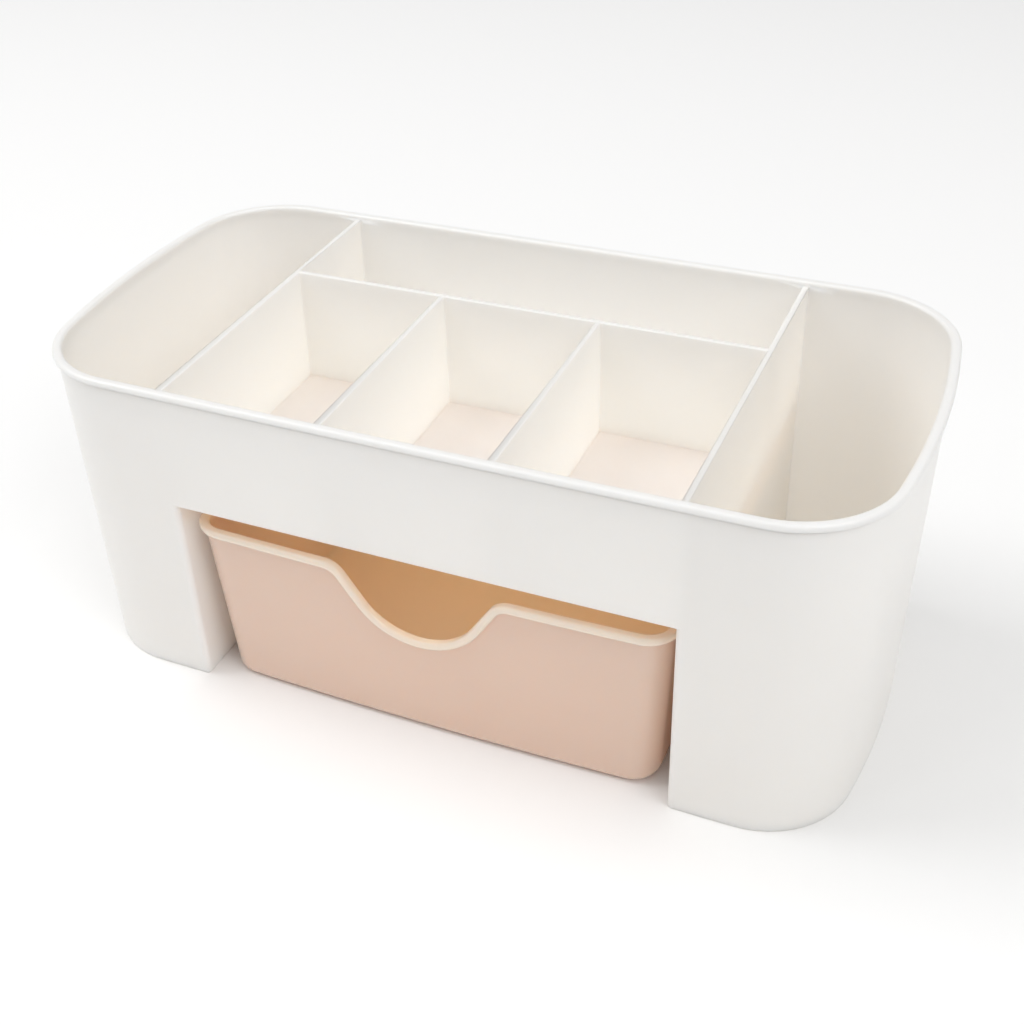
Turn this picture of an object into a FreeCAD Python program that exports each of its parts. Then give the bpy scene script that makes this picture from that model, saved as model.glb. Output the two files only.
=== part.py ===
"""Makeup organizer with a drawer, a parametric model in millimetres.

The object is two plastic mouldings. The housing is a tapered tub with a rolled rim, held up by a deep
compartment at each end, with a shelf and partitions over an open drawer bay. The drawer is a drafted tub
with a beaded rim that dips through a finger scoop, and it slides out of the bay along -Y.

The origin is at the bottom centre: X runs along the length, Y from the open front (-Y) to the back, Z up.
"""
import FreeCAD, Part
import math
import os

import Sketcher
from FreeCAD import Vector

# Driving dimensions, in millimetres and degrees
SIZES = {
    # Housing, outside
    "housing_length": 220.0,  # over the rim, along X
    "housing_width": 112.0,  # over the rim, along Y
    "housing_height": 92.0,
    "rim_corner": 26.5,  # plan radius of the rim's corners
    "rim_side_bow": 0.6,  # how far the long sides crown outwards
    "rim_end_bow": 6.2,  # how far the ends crown outwards
    "rim_band": 2.0,  # height of the rolled rim
    "rim_lip": 1.1,  # how far the rim stands out from the wall
    "rim_round": 0.85,
    "end_draw": 1.7,  # how far each end wall draws in from top to foot
    "side_draw": 2.9,  # the same for the long walls
    "foot_corner": 23.7,
    "foot_side_bow": 0.1,
    "foot_end_bow": 6.8,
    "housing_wall": 1.5,
    # Housing, inside
    "tower_floor": 1.6,  # floor of the two deep end compartments
    "tower_wall": 1.7,  # wall between each end compartment and the bay
    "bay_width": 130.4,
    "bay_height": 57.5,
    "shelf_thickness": 1.3,
    "partition_thickness": 1.4,  # at the top
    "partition_draft": 0.9,  # degrees, on each face
    "partition_drop": 1.2,  # partition tops below the rim
    "long_partition_place": 17.0,  # its middle plane, behind the housing's middle
    "cross_partition_place": 21.8,  # middle planes, either side of the housing's middle
    # Drawer
    "drawer_side_gap": 0.7,  # from the rim to the bay, each side
    "drawer_top_gap": 6.9,  # from the rim up to the bay's ceiling
    "drawer_rear_gap": 1.0,  # from the rim to the housing's back wall
    "drawer_setback": 0.5,  # of the rim from the housing's front face
    "drawer_corner": 8.3,  # plan radius of the rim's corners
    "drawer_bow": 1.3,  # how far the front and back crown outwards
    "drawer_draw": 2.8,  # how far each wall draws in from rim to bottom
    "drawer_foot_corner": 7.5,
    "drawer_wall": 1.4,
    "drawer_floor": 1.5,
    "drawer_foot_round": 3.0,
    "drawer_floor_round": 1.8,  # inside, where the walls meet the floor
    "bead_height": 2.2,  # of the drawer's rim
    "bead_lip": 1.4,  # how far the bead stands out from the wall
    "bead_round": 0.85,
    "scoop_depth": 18.6,  # from the rim's top to the scoop's lowest point
    "scoop_radius": 17.3,
    "scoop_slope": 57.0,  # degrees from level
    "scoop_flare": 6.2,  # radius where the scoop runs out into the rim
}

OVERSHOOT = 5.0  # how far cuts run past the faces that they open

# Worked-out sizes, as formulas of the sheet's cells
WALL_TOP = "(Sizes.housing_height - Sizes.rim_band)"
WALL_LENGTH = "(Sizes.housing_length - 2 * Sizes.rim_lip)"
WALL_WIDTH = "(Sizes.housing_width - 2 * Sizes.rim_lip)"
WALL_CORNER = "(Sizes.rim_corner - Sizes.rim_lip)"
FOOT_LENGTH = f"({WALL_LENGTH} - 2 * Sizes.end_draw)"
FOOT_WIDTH = f"({WALL_WIDTH} - 2 * Sizes.side_draw)"
BAY_SIDE = "(Sizes.bay_width / 2)"
SHELF_TOP = "(Sizes.bay_height + Sizes.shelf_thickness)"
PARTITION_TOP = "(Sizes.housing_height - Sizes.partition_drop)"
DRAFT = "tan(Sizes.partition_draft * 1 deg)"
PARTITION_DRAW = f"(({PARTITION_TOP} - {SHELF_TOP}) * {DRAFT})"

DRAWER_TOP = "(Sizes.bay_height - Sizes.drawer_top_gap)"
DRAWER_LENGTH = f"(Sizes.bay_width - 2 * Sizes.drawer_side_gap)"


def half_width_at(height):
    """Formula of the housing's outer half width at a height, on its middle plane."""
    return f"({FOOT_WIDTH} / 2 + Sizes.side_draw * ({height}) / {WALL_TOP})"


def tower_side_at(height):
    """Formula of the face of the wall beside an end compartment at a height, from the middle plane."""
    return f"({BAY_SIDE} + Sizes.tower_wall + ({SHELF_TOP} - ({height})) * {DRAFT})"


def wall_sizes_at(height):
    """Formulas of the outer wall's outline at a height: length, width, corner and the two bows."""
    foot = (FOOT_LENGTH, FOOT_WIDTH, "Sizes.foot_corner", "Sizes.foot_side_bow", "Sizes.foot_end_bow")
    top = (WALL_LENGTH, WALL_WIDTH, WALL_CORNER, "Sizes.rim_side_bow", "Sizes.rim_end_bow")
    return [f"({low} + ({high} - {low}) * ({height}) / {WALL_TOP})" for low, high in zip(foot, top)]


DRAWER_FRONT = f"({half_width_at(DRAWER_TOP)} - Sizes.drawer_setback)"
DRAWER_BACK = f"({half_width_at(DRAWER_TOP)} - Sizes.housing_wall - Sizes.drawer_rear_gap)"
DRAWER_DEPTH = f"({DRAWER_FRONT} + {DRAWER_BACK})"
DRAWER_MIDDLE = f"(({DRAWER_BACK} - {DRAWER_FRONT}) / 2)"

doc = FreeCAD.newDocument("makeup_organizer")
sheet = doc.addObject("Spreadsheet::Sheet", "Sizes")
for row, (alias, value) in enumerate(SIZES.items(), start=1):
    sheet.set(f"A{row}", str(value))
    sheet.setAlias(f"A{row}", alias)
doc.recompute()


def number(formula):
    """Value of a formula of the sheet's cells."""
    value = sheet.evalExpression(formula)
    return float(getattr(value, "Value", value))


def origin_plane(body, role):
    """A body's own origin plane, by its role."""
    return next(feature for feature in body.Origin.OriginFeatures if feature.Role == role)


def new_sketch(body, name, role, level="0", shift="0"):
    """Sketch on an origin plane, lifted to a level and, on the XY plane, shifted along Y."""
    sketch = body.newObject("Sketcher::SketchObject", name)
    sketch.AttachmentSupport = [(origin_plane(body, role), "")]
    sketch.MapMode = "FlatFace"
    sketch.setExpression("AttachmentOffset.Base.z", level)
    sketch.setExpression("AttachmentOffset.Base.y", shift)
    return sketch


def dimension(sketch, name, formula, kind, *places):
    """Named sketch dimension whose value follows a formula."""
    value = number(formula)
    if kind == "Angle":
        value = math.radians(value)
    index = sketch.addConstraint(Sketcher.Constraint(kind, *places, value))
    sketch.renameConstraint(index, name)
    sketch.setExpression(f"Constraints.{name}", formula)


def arc(x, y, radius, start, end):
    """Sketch arc, counter-clockwise between two angles in radians."""
    return Part.ArcOfCircle(Part.Circle(Vector(x, y), Vector(0, 0, 1), radius), start, end)


def line(x1, y1, x2, y2):
    """Sketch line between two points."""
    return Part.LineSegment(Vector(x1, y1), Vector(x2, y2))


def bow_radius(chord, bow):
    """Formula of the radius of an arc over a chord that stands out by a bow."""
    return f"((({chord}) / 2)^2 + ({bow})^2) / (2 * ({bow}))"


def corner_centre(side_y, end_x, side_radius, end_radius, corner):
    """Centre of the corner arc in the first quadrant, tangent inside the side arc and the end arc."""
    side = Vector(0, side_y)
    apart = Vector(end_x, 0) - side
    to_side = side_radius - corner
    to_end = end_radius - corner
    along = (to_side**2 - to_end**2 + apart.Length**2) / (2 * apart.Length)
    across = math.sqrt(to_side**2 - along**2)
    unit = apart / apart.Length
    normal = Vector(-unit.y, unit.x)
    found = (side + unit * along + normal * across, side + unit * along - normal * across)
    return max(found, key=lambda point: min(point.x, point.y))


def crowned_outline(sketch, length, width, corner, side_bow, end_bow, inset="0", cut=None):
    """Draw a rounded rectangle whose four sides crown outwards, as tangent arcs.

    inset draws it parallel, further in. cut leaves only what lies beyond that X, closed by a line.
    """
    side_radius = bow_radius(length, side_bow)
    end_radius = bow_radius(width, end_bow)
    big = number(side_radius)
    end = number(end_radius)
    small = number(corner)
    side_y = number(width) / 2 - big
    end_x = number(length) / 2 - end
    centre = corner_centre(side_y, end_x, big, end, small)
    on_side = math.atan2(centre.y - side_y, centre.x)
    on_end = math.atan2(centre.y, centre.x - end_x)
    depth = number(inset)
    big -= depth
    end -= depth
    small -= depth
    turn = math.pi
    if cut is None:
        front_start = on_side - turn
    else:
        front_start = -math.acos(number(cut) / big)
    right = [
        arc(0, -side_y, big, front_start, -on_side),
        arc(centre.x, -centre.y, small, -on_side, -on_end),
        arc(end_x, 0, end, -on_end, on_end),
        arc(centre.x, centre.y, small, on_end, on_side),
        arc(0, side_y, big, on_side, -front_start),
    ]
    if cut is None:
        left = [
            arc(-centre.x, centre.y, small, turn - on_side, turn - on_end),
            arc(-end_x, 0, end, turn - on_end, turn + on_end),
            arc(-centre.x, -centre.y, small, turn + on_end, turn + on_side),
        ]
    else:
        edge = side_y + big * math.sin(-front_start)
        left = [line(number(cut), edge, number(cut), -edge)]
    sketch.addGeometry(right + left, False)
    constraint = Sketcher.Constraint
    tangents = 8 if cut is None else 4
    rules = [constraint("Tangent", i, 2, (i + 1) % 8, 1) for i in range(tangents)]
    rules += [constraint("PointOnObject", 0, 3, -2), constraint("PointOnObject", 4, 3, -2)]
    rules += [constraint("PointOnObject", 2, 3, -1), constraint("Equal", 0, 4), constraint("Equal", 1, 3)]
    if cut is None:
        rules += [constraint("Equal", 1, 5), constraint("Equal", 1, 7)]
        rules += [constraint("Equal", 2, 6), constraint("PointOnObject", 6, 3, -1)]
    else:
        rules += [constraint("Coincident", 4, 2, 5, 1), constraint("Coincident", 5, 2, 0, 1)]
        rules += [constraint("Vertical", 5)]
    sketch.addConstraint(rules)
    side_centre = f"{side_radius} - ({width}) / 2"
    end_centre = f"{end_radius} - ({length}) / 2"
    dimension(sketch, "corner", f"({corner}) - ({inset})", "Radius", 1)
    dimension(sketch, "side_radius", f"{side_radius} - ({inset})", "Radius", 0)
    dimension(sketch, "end_radius", f"{end_radius} - ({inset})", "Radius", 2)
    dimension(sketch, "front_centre", side_centre, "DistanceY", -1, 1, 0, 3)
    dimension(sketch, "back_centre", side_centre, "DistanceY", 4, 3, -1, 1)
    dimension(sketch, "right_centre", end_centre, "DistanceX", 2, 3, -1, 1)
    if cut is None:
        dimension(sketch, "left_centre", end_centre, "DistanceX", -1, 1, 6, 3)
    else:
        dimension(sketch, "cut", cut, "DistanceX", -1, 1, 5, 1)


def strip_outline(sketch, length, width, side_bow, inset, reach):
    """Draw the middle stretch of a crowned outline: its two bowed sides, closed at plus and minus reach."""
    side_radius = bow_radius(length, side_bow)
    big = number(side_radius) - number(inset)
    side_y = number(width) / 2 - number(side_radius)
    half = number(reach)
    swing = math.acos(half / big)
    edge = side_y + big * math.sin(swing)
    sketch.addGeometry(
        [
            arc(0, -side_y, big, swing - math.pi, -swing),
            line(half, -edge, half, edge),
            arc(0, side_y, big, swing, math.pi - swing),
            line(-half, edge, -half, -edge),
        ],
        False,
    )
    constraint = Sketcher.Constraint
    rules = [constraint("Coincident", i, 2, (i + 1) % 4, 1) for i in range(4)]
    rules += [constraint("Vertical", 1), constraint("Vertical", 3), constraint("Equal", 0, 2)]
    rules += [constraint("PointOnObject", 0, 3, -2), constraint("PointOnObject", 2, 3, -2)]
    sketch.addConstraint(rules)
    side_centre = f"{side_radius} - ({width}) / 2"
    dimension(sketch, "side_radius", f"{side_radius} - ({inset})", "Radius", 0)
    dimension(sketch, "front_centre", side_centre, "DistanceY", -1, 1, 0, 3)
    dimension(sketch, "back_centre", side_centre, "DistanceY", 2, 3, -1, 1)
    dimension(sketch, "right", reach, "DistanceX", -1, 1, 1, 1)
    dimension(sketch, "left", reach, "DistanceX", 3, 1, -1, 1)


def bowed_outline(sketch, length, width, corner, bow, inset="0"):
    """Draw a rounded rectangle whose front and back crown outwards and whose ends are straight."""
    bow_arc = bow_radius(length, bow)
    big = number(bow_arc)
    small = number(corner)
    depth = number(inset)
    half = number(length) / 2
    side_y = number(width) / 2 - big
    corner_x = half - small
    corner_y = side_y + math.sqrt((big - small) ** 2 - corner_x**2)
    on_side = math.atan2(corner_y - side_y, corner_x)
    big -= depth
    small -= depth
    half -= depth
    turn = math.pi
    sketch.addGeometry(
        [
            arc(0, -side_y, big, on_side - turn, -on_side),
            arc(corner_x, -corner_y, small, -on_side, 0),
            line(half, -corner_y, half, corner_y),
            arc(corner_x, corner_y, small, 0, on_side),
            arc(0, side_y, big, on_side, turn - on_side),
            arc(-corner_x, corner_y, small, turn - on_side, turn),
            line(-half, corner_y, -half, -corner_y),
            arc(-corner_x, -corner_y, small, turn, turn + on_side),
        ],
        False,
    )
    constraint = Sketcher.Constraint
    rules = [constraint("Tangent", i, 2, (i + 1) % 8, 1) for i in range(8)]
    rules += [constraint("Vertical", 2), constraint("Vertical", 6), constraint("Equal", 0, 4)]
    rules += [constraint("PointOnObject", 0, 3, -2), constraint("PointOnObject", 4, 3, -2)]
    rules += [constraint("Equal", 1, 3), constraint("Equal", 1, 5), constraint("Equal", 1, 7)]
    sketch.addConstraint(rules)
    centre = f"{bow_arc} - ({width}) / 2"
    reach = f"({length}) / 2 - ({inset})"
    dimension(sketch, "corner", f"({corner}) - ({inset})", "Radius", 1)
    dimension(sketch, "bow_radius", f"{bow_arc} - ({inset})", "Radius", 0)
    dimension(sketch, "front_centre", centre, "DistanceY", -1, 1, 0, 3)
    dimension(sketch, "back_centre", centre, "DistanceY", 4, 3, -1, 1)
    dimension(sketch, "right", reach, "DistanceX", -1, 1, 2, 1)
    dimension(sketch, "left", reach, "DistanceX", 6, 1, -1, 1)


def rectangle(sketch, x_low, x_high, y_low, y_high):
    """Draw a rectangle between four formulas."""
    left, right, low, high = (number(formula) for formula in (x_low, x_high, y_low, y_high))
    sketch.addGeometry(
        [
            line(left, low, right, low),
            line(right, low, right, high),
            line(right, high, left, high),
            line(left, high, left, low),
        ],
        False,
    )
    constraint = Sketcher.Constraint
    rules = [constraint("Coincident", i, 2, (i + 1) % 4, 1) for i in range(4)]
    rules += [constraint("Horizontal", 0), constraint("Horizontal", 2)]
    rules += [constraint("Vertical", 1), constraint("Vertical", 3)]
    sketch.addConstraint(rules)
    dimension(sketch, "x_low", x_low, "DistanceX", -1, 1, 0, 1)
    dimension(sketch, "x_high", x_high, "DistanceX", -1, 1, 1, 1)
    dimension(sketch, "y_low", y_low, "DistanceY", -1, 1, 0, 1)
    dimension(sketch, "y_high", y_high, "DistanceY", -1, 1, 2, 1)


def dipped_outline(sketch, offset, far):
    """Draw the region between the drawer's rim curve, offset downwards, and a far level.

    The curve runs level, rolls over a flare into the scoop's slope, and round its bottom.
    """
    top = number(DRAWER_TOP)
    depth = number("Sizes.scoop_depth")
    radius = number("Sizes.scoop_radius")
    slope = math.radians(number("Sizes.scoop_slope"))
    flare = number("Sizes.scoop_flare")
    shift = number(offset)
    reach = number(f"{DRAWER_LENGTH} / 2") + OVERSHOOT
    across = Vector(math.sin(slope), -math.cos(slope))
    along = Vector(math.cos(slope), math.sin(slope))
    dip_centre = Vector(0, top - depth + radius)
    dip_end = dip_centre + across * (radius + shift)
    flare_height = top - flare
    climb = (flare_height - (dip_centre.y + across.y * (radius + flare))) / along.y
    flare_centre = dip_centre + across * (radius + flare) + along * climb
    flare_end = flare_centre - across * (flare - shift)
    level = top - shift
    end = number(far)
    quarter = math.pi / 2
    sketch.addGeometry(
        [
            line(-reach, level, -flare_centre.x, level),
            arc(-flare_centre.x, flare_height, flare - shift, quarter - slope, quarter),
            line(-flare_end.x, flare_end.y, -dip_end.x, dip_end.y),
            arc(0, dip_centre.y, radius + shift, -quarter - slope, slope - quarter),
            line(dip_end.x, dip_end.y, flare_end.x, flare_end.y),
            arc(flare_centre.x, flare_height, flare - shift, quarter, quarter + slope),
            line(flare_centre.x, level, reach, level),
            line(reach, level, reach, end),
            line(reach, end, -reach, end),
            line(-reach, end, -reach, level),
        ],
        False,
    )
    constraint = Sketcher.Constraint
    rules = [
        constraint("Tangent", 0, 2, 1, 2),
        constraint("Tangent", 1, 1, 2, 1),
        constraint("Tangent", 2, 2, 3, 1),
        constraint("Tangent", 3, 2, 4, 1),
        constraint("Tangent", 4, 2, 5, 2),
        constraint("Tangent", 5, 1, 6, 1),
        constraint("Coincident", 6, 2, 7, 1),
        constraint("Coincident", 7, 2, 8, 1),
        constraint("Coincident", 8, 2, 9, 1),
        constraint("Coincident", 9, 2, 0, 1),
        constraint("Horizontal", 0),
        constraint("Horizontal", 6),
        constraint("Horizontal", 8),
        constraint("Vertical", 7),
        constraint("Vertical", 9),
        constraint("PointOnObject", 3, 3, -2),
        constraint("Equal", 1, 5),
        constraint("Equal", 0, 6),
        constraint("Horizontal", 0, 2, 6, 1),
    ]
    sketch.addConstraint(rules)
    dimension(sketch, "dip_radius", f"Sizes.scoop_radius + ({offset})", "Radius", 3)
    dimension(sketch, "flare_radius", f"Sizes.scoop_flare - ({offset})", "Radius", 1)
    dip_height = f"{DRAWER_TOP} - Sizes.scoop_depth + Sizes.scoop_radius"
    dimension(sketch, "dip_centre", dip_height, "DistanceY", -1, 1, 3, 3)
    dimension(sketch, "level", f"{DRAWER_TOP} - ({offset})", "DistanceY", -1, 1, 0, 1)
    dimension(sketch, "reach", f"{DRAWER_LENGTH} / 2 + {OVERSHOOT}", "DistanceX", -1, 1, 6, 2)
    dimension(sketch, "far", far, "DistanceY", -1, 1, 7, 2)
    dimension(sketch, "right_slope", "Sizes.scoop_slope * 1 deg", "Angle", 6, 1, 4, 1)


def loft(body, kind, name, low, high):
    """Straight-sided loft between two sketches, added or subtracted."""
    feature = body.newObject(f"PartDesign::{kind}Loft", name)
    feature.Profile = low
    feature.Sections = [high]
    feature.Ruled = True
    return feature


def extrude(body, kind, name, sketch, length, reverse=False):
    """Pad or pocket of a sketch by a formula's length."""
    feature = body.newObject(f"PartDesign::{kind}", name)
    feature.Profile = sketch
    feature.setExpression("Length", length)
    feature.Reversed = reverse
    return feature


def middle_of(edge):
    """Point halfway along an edge's parameters."""
    return edge.valueAt((edge.FirstParameter + edge.LastParameter) / 2)


def edges_where(feature, test):
    """Names of a feature's edges that pass a test of the edge and its middle point."""
    edges = enumerate(feature.Shape.Edges, start=1)
    return [f"Edge{index}" for index, edge in edges if test(edge, middle_of(edge))]


def fillet(body, name, base, edges, radius):
    """Fillet edges of a feature by a formula's radius."""
    feature = body.newObject("PartDesign::Fillet", name)
    feature.Base = (base, edges)
    feature.setExpression("Radius", radius)
    doc.recompute()
    return feature


def is_near(value, target):
    """Whether two lengths are the same to a hundredth of a millimetre."""
    return abs(value - target) < 0.01


def plate(body, name, low, high):
    """Upright plate lofted between two rectangles, each a level and its x and y limits."""
    sketches = []
    for end, (level, *limits) in (("low", low), ("high", high)):
        sketch = new_sketch(body, f"{name}_{end}", "XY_Plane", level)
        rectangle(sketch, *limits)
        sketches.append(sketch)
    return loft(body, "Additive", name, *sketches)


def in_wall(height):
    """Formula of the middle of the long walls' thickness at a height."""
    return f"({half_width_at(height)} - Sizes.housing_wall / 2)"


def make_housing():
    """White moulding: tapered tub with a rolled rim, end compartments, shelf and partitions."""
    body = doc.addObject("PartDesign::Body", "housing")
    wall = "Sizes.housing_wall"

    def full(name, level, inset):
        """Sketch of the whole wall outline at a level."""
        sketch = new_sketch(body, name, "XY_Plane", level)
        crowned_outline(sketch, *wall_sizes_at(level), inset=inset)
        return sketch

    def strip(name, level, reach):
        """Sketch of the middle stretch of the wall's inner outline at a level."""
        sketch = new_sketch(body, name, "XY_Plane", level)
        length, width, corner, side_bow, end_bow = wall_sizes_at(level)
        strip_outline(sketch, length, width, side_bow, wall, reach)
        return sketch

    def end_part(name, level):
        """Sketch of the wall's inner outline beyond the tower wall at a level."""
        sketch = new_sketch(body, name, "XY_Plane", level)
        crowned_outline(sketch, *wall_sizes_at(level), inset=wall, cut=tower_side_at(level))
        return sketch

    # Tapered block with the rim's band on top
    loft(body, "Additive", "tapered_block", full("block_low", "0", "0"), full("block_high", WALL_TOP, "0"))
    rim_outline = new_sketch(body, "rim_outline", "XY_Plane", WALL_TOP)
    crowned_outline(rim_outline, *wall_sizes_at(WALL_TOP), inset="-Sizes.rim_lip")
    rim_band = extrude(body, "Pad", "rim_band", rim_outline, "Sizes.rim_band")

    # Hollow above the partitions, down each end compartment, over the shelf and under it
    rim_inside = full("rim_inside", PARTITION_TOP, wall)
    rim_hollow = extrude(body, "Pocket", "rim_hollow", rim_inside, "Sizes.partition_drop", reverse=True)
    end_hollow = loft(
        body,
        "Subtractive",
        "end_hollow",
        end_part("end_low", "Sizes.tower_floor"),
        end_part("end_high", PARTITION_TOP),
    )
    other_end = body.newObject("PartDesign::Mirrored", "other_end")
    other_end.Originals = [end_hollow]
    other_end.MirrorPlane = (origin_plane(body, "YZ_Plane"), [""])
    body.Tip = other_end
    end_inside = f"({tower_side_at(PARTITION_TOP)} - Sizes.partition_thickness)"
    shelf_hollow = loft(
        body,
        "Subtractive",
        "shelf_hollow",
        strip("shelf_low", SHELF_TOP, f"({end_inside} - {PARTITION_DRAW})"),
        strip("shelf_high", PARTITION_TOP, end_inside),
    )
    bay = loft(
        body,
        "Subtractive",
        "bay",
        strip("bay_low", "0", BAY_SIDE),
        strip("bay_high", "Sizes.bay_height", BAY_SIDE),
    )
    mouth_outline = new_sketch(body, "mouth_outline", "XZ_Plane")
    rectangle(mouth_outline, f"-{BAY_SIDE}", BAY_SIDE, str(-OVERSHOOT), "Sizes.bay_height")
    mouth = extrude(body, "Pocket", "mouth", mouth_outline, "Sizes.housing_width", reverse=True)
    doc.recompute()
    cuts = [rim_band, rim_hollow, end_hollow, other_end, shelf_hollow, bay, mouth]
    for before, after in zip(cuts, cuts[1:]):
        report_cut(before, after)

    # Partitions over the shelf, each drafted and rooted in the walls
    half = "Sizes.partition_thickness / 2"
    place = "Sizes.cross_partition_place"
    long_place = "Sizes.long_partition_place"
    cross_partition = plate(
        body,
        "cross_partition",
        (
            SHELF_TOP,
            f"{place} - {half} - {PARTITION_DRAW}",
            f"{place} + {half} + {PARTITION_DRAW}",
            f"-{in_wall(SHELF_TOP)}",
            long_place,
        ),
        (PARTITION_TOP, f"{place} - {half}", f"{place} + {half}", f"-{in_wall(PARTITION_TOP)}", long_place),
    )
    other_cross = body.newObject("PartDesign::Mirrored", "other_cross")
    other_cross.Originals = [cross_partition]
    other_cross.MirrorPlane = (origin_plane(body, "YZ_Plane"), [""])
    body.Tip = other_cross
    long_end = f"({end_inside} + {half})"
    plate(
        body,
        "long_partition",
        (
            SHELF_TOP,
            f"-{long_end}",
            long_end,
            f"{long_place} - {half} - {PARTITION_DRAW}",
            f"{long_place} + {half} + {PARTITION_DRAW}",
        ),
        (PARTITION_TOP, f"-{long_end}", long_end, f"{long_place} - {half}", f"{long_place} + {half}"),
    )
    doc.recompute()
    round_housing(body, rim_outline)
    return body


def round_housing(body, rim_outline):
    """Round the rim: both edges of its top and the outer edge of its underside."""
    high = number("Sizes.housing_height")
    band_low = number(WALL_TOP)

    def on_rim(edge, middle):
        """Both edges of the rim's top, and the outer edge of its underside."""
        if is_near(middle.z, high):
            return True
        return is_near(middle.z, band_low) and is_near(rim_outline.Shape.distToShape(Part.Vertex(middle))[0], 0)

    fillet(body, "rim_round", body.Tip, edges_where(body.Tip, on_rim), "Sizes.rim_round")


def report_cut(before, after):
    """Stop if a cut took nothing away."""
    if after.Shape.Volume > before.Shape.Volume - 1.0:
        raise ValueError(f"{after.Name} cuts nothing")


def make_drawer():
    """Peach moulding: drafted tub whose beaded rim dips through a scoop in the front."""
    body = doc.addObject("PartDesign::Body", "drawer")
    rim = (DRAWER_LENGTH, DRAWER_DEPTH, "Sizes.drawer_corner", "Sizes.drawer_bow")
    foot = (
        f"({DRAWER_LENGTH} - 2 * Sizes.drawer_draw)",
        f"({DRAWER_DEPTH} - 2 * Sizes.drawer_draw)",
        "Sizes.drawer_foot_corner + Sizes.bead_lip",
        "Sizes.drawer_bow",
    )

    def outline(name, sizes, level, inset):
        """Sketch of the drawer's outline at a level."""
        sketch = new_sketch(body, name, "XY_Plane", level, DRAWER_MIDDLE)
        bowed_outline(sketch, *sizes, inset=inset)
        return sketch

    # Block as wide as the bead, cut away below the bead
    block_low = outline("bead_block_low", foot, "0", "0")
    block_high = outline("bead_block_high", rim, DRAWER_TOP, "0")
    block = loft(body, "Additive", "bead_block", block_low, block_high)
    below_front = new_sketch(body, "below_bead_front", "XZ_Plane")
    dipped_outline(below_front, "Sizes.bead_height", str(-OVERSHOOT))
    front_cut = extrude(body, "Pocket", "below_bead_front_cut", below_front, DRAWER_DEPTH, reverse=True)
    below_back = new_sketch(body, "below_bead_back", "XZ_Plane")
    reach = f"({DRAWER_LENGTH} / 2 + {OVERSHOOT})"
    rectangle(below_back, f"-{reach}", reach, str(-OVERSHOOT), f"{DRAWER_TOP} - Sizes.bead_height")
    back_cut = extrude(body, "Pocket", "below_bead_back_cut", below_back, DRAWER_DEPTH)
    doc.recompute()
    report_cut(block, front_cut)
    report_cut(front_cut, back_cut)

    # Tub, scoop and hollow
    tub_low = outline("tub_low", foot, "0", "Sizes.bead_lip")
    tub_high = outline("tub_high", rim, DRAWER_TOP, "Sizes.bead_lip")
    tub = loft(body, "Additive", "tub", tub_low, tub_high)
    above = new_sketch(body, "above_scoop", "XZ_Plane")
    dipped_outline(above, "0", f"{DRAWER_TOP} + {OVERSHOOT}")
    scoop = extrude(body, "Pocket", "scoop", above, DRAWER_DEPTH, reverse=True)
    floor_share = f"Sizes.drawer_floor / {DRAWER_TOP}"
    floor_draw = f"2 * Sizes.drawer_draw * (1 - {floor_share})"
    at_floor = (f"({DRAWER_LENGTH} - {floor_draw})", f"({DRAWER_DEPTH} - {floor_draw})", *foot[2:])
    wall_inset = "Sizes.bead_lip + Sizes.drawer_wall"
    hollow_low = outline("hollow_low", at_floor, "Sizes.drawer_floor", wall_inset)
    hollow_high = outline("hollow_high", rim, DRAWER_TOP, wall_inset)
    hollow = loft(body, "Subtractive", "hollow", hollow_low, hollow_high)
    doc.recompute()
    report_cut(tub, scoop)
    report_cut(scoop, hollow)
    round_drawer(body, tub_high)
    return body


def round_drawer(body, tub_outline):
    """Round the drawer's bead, its bottom edge and the floor inside."""
    plan = Part.Face(tub_outline.Shape.Wires[0])
    top = number(DRAWER_TOP)
    lowest = top - number("Sizes.scoop_depth") - number("Sizes.bead_height") - 1.0
    centre = Vector(0, number(DRAWER_MIDDLE), 0)
    straight = number(f"{DRAWER_LENGTH} / 2 - Sizes.drawer_corner")

    def on_bead(edge, middle):
        """The bead's long edges: outer top, inner top and outer bottom."""
        if middle.z < lowest:
            return False
        along = edge.tangentAt((edge.FirstParameter + edge.LastParameter) / 2)
        across_front = abs(along.y) > 0.9 and abs(middle.x) < straight
        if across_front or abs(along.z) > 0.9:
            return False
        outer = not plan.isInside(Vector(middle.x, middle.y, top), 0.01, True)
        inward = Vector(centre.x - middle.x, centre.y - middle.y, 0).normalize()
        return outer or not body.Tip.Shape.isInside(middle + inward * 0.3 - Vector(0, 0, 0.3), 0.01, True)

    def at_level(level):
        """Test for edges that lie at a level."""
        return lambda edge, middle: is_near(middle.z, level)

    edges = edges_where(body.Tip, at_level(number("Sizes.drawer_floor")))
    inside = fillet(body, "floor_round", body.Tip, edges, "Sizes.drawer_floor_round")
    edges = edges_where(inside, at_level(0))
    bottom = fillet(body, "bottom_round", inside, edges, "Sizes.drawer_foot_round")
    fillet(body, "bead_round", bottom, edges_where(bottom, on_bead), "Sizes.bead_round")


def check_model(bodies):
    """Stop if any object of the document failed, or a body isn't one valid solid."""
    doc.recompute()
    for item in doc.Objects:
        if "Invalid" in item.State or "Error" in item.State:
            raise ValueError(f"{item.Name} failed: {item.State}")
    for body in bodies:
        shape = body.Shape
        if shape.isNull() or not shape.isValid() or len(shape.Solids) != 1:
            raise ValueError(f"{body.Label} is not one valid solid")
        print(body.Label, round(shape.Volume), "mm3", len(shape.Faces), "faces")


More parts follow.
